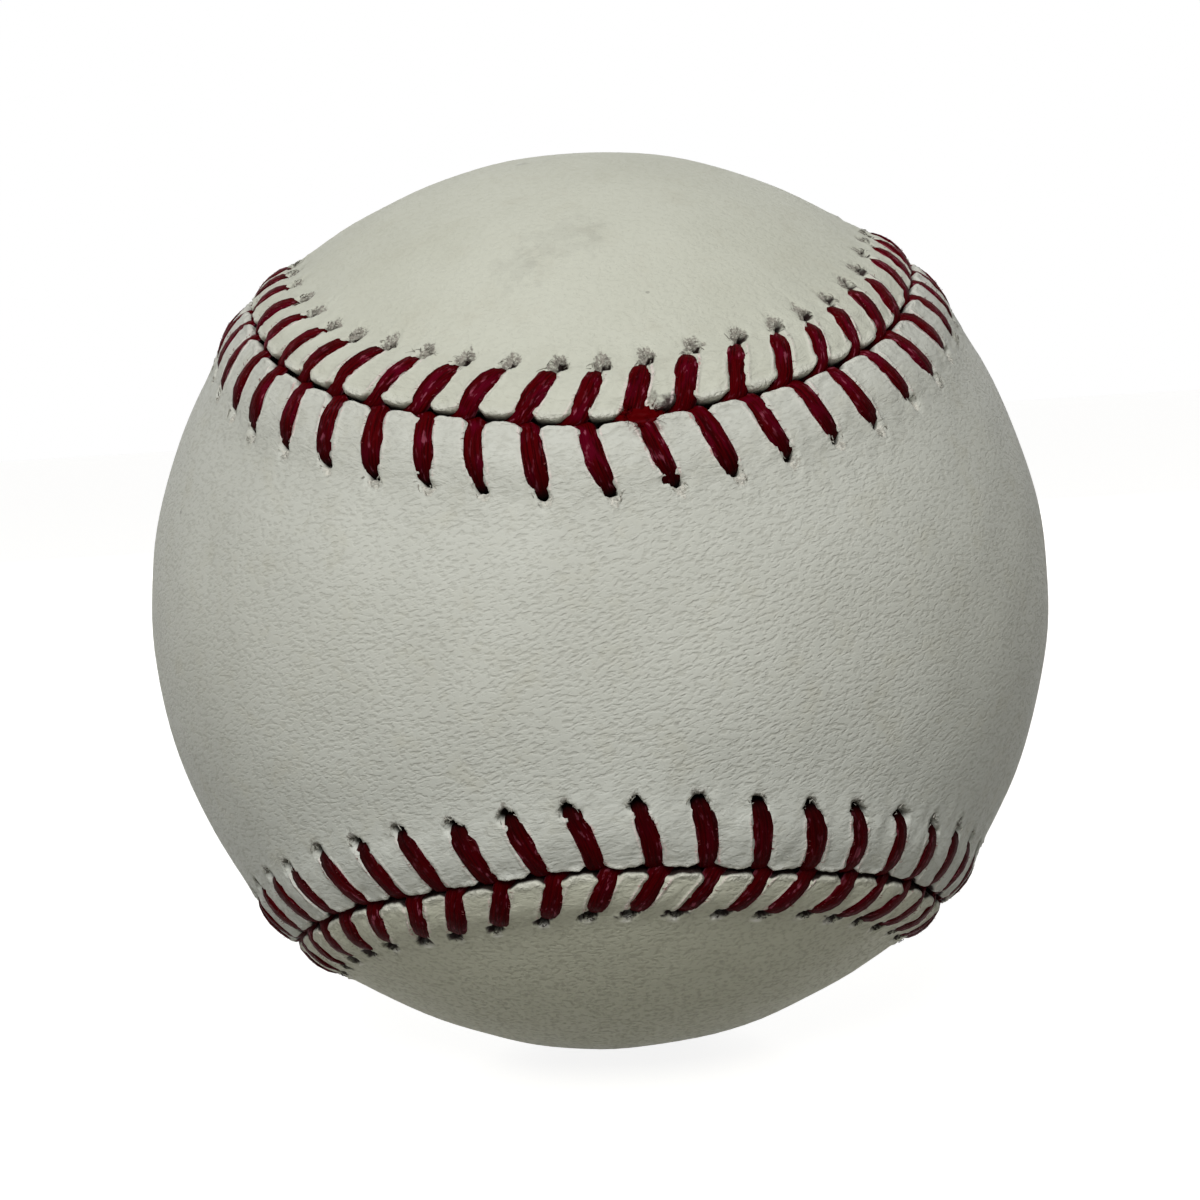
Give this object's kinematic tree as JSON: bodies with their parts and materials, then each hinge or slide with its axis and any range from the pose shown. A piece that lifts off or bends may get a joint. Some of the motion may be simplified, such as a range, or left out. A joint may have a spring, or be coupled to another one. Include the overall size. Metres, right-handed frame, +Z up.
{
  "type": "baseball",
  "caption": "Ball with a figure-eight leather cover sewn in raised red double stitches over wound wool, cotton and a rubber-clad cork pill.",
  "frame": {"origin": "the centre of the ball", "axes": "+Y runs from the middle of the front panel's waist to the middle of the back panel's waist, so the front waist faces -Y; +Z is up, through the middle of the back panel's upper lobe; +X is to the right, through the middle of a front panel's lobe"},
  "size_m": [0.0742, 0.0743, 0.0741],
  "materials": {
    "cork": "ground cork bound with rubber, matte",
    "black_rubber": "moulded, matte",
    "red_rubber": "moulded, matte",
    "grey_wool": "tightly wound woollen yarn",
    "white_wool": "tightly wound woollen yarn",
    "cotton_yarn": "fine cotton yarn under a thin film of cement",
    "leather": "ivory tanned leather, fine pebbled grain, satin",
    "waxed_thread": "deep red waxed thread, pulled tight"
  },
  "bodies": {
    "root": {"cork_core": "cork", "black_shell_lower": "black_rubber", "black_shell_upper": "black_rubber", "red_washer": "red_rubber", "red_rubber_coat": "red_rubber", "grey_wool_inner": "grey_wool", "white_wool": "white_wool", "grey_wool_outer": "grey_wool", "cotton_winding": "cotton_yarn", "leather_panel_front": "leather", "leather_panel_back": "leather", "thread_first_needle": "waxed_thread", "thread_second_needle": "waxed_thread"}
  },
  "joints": []
}
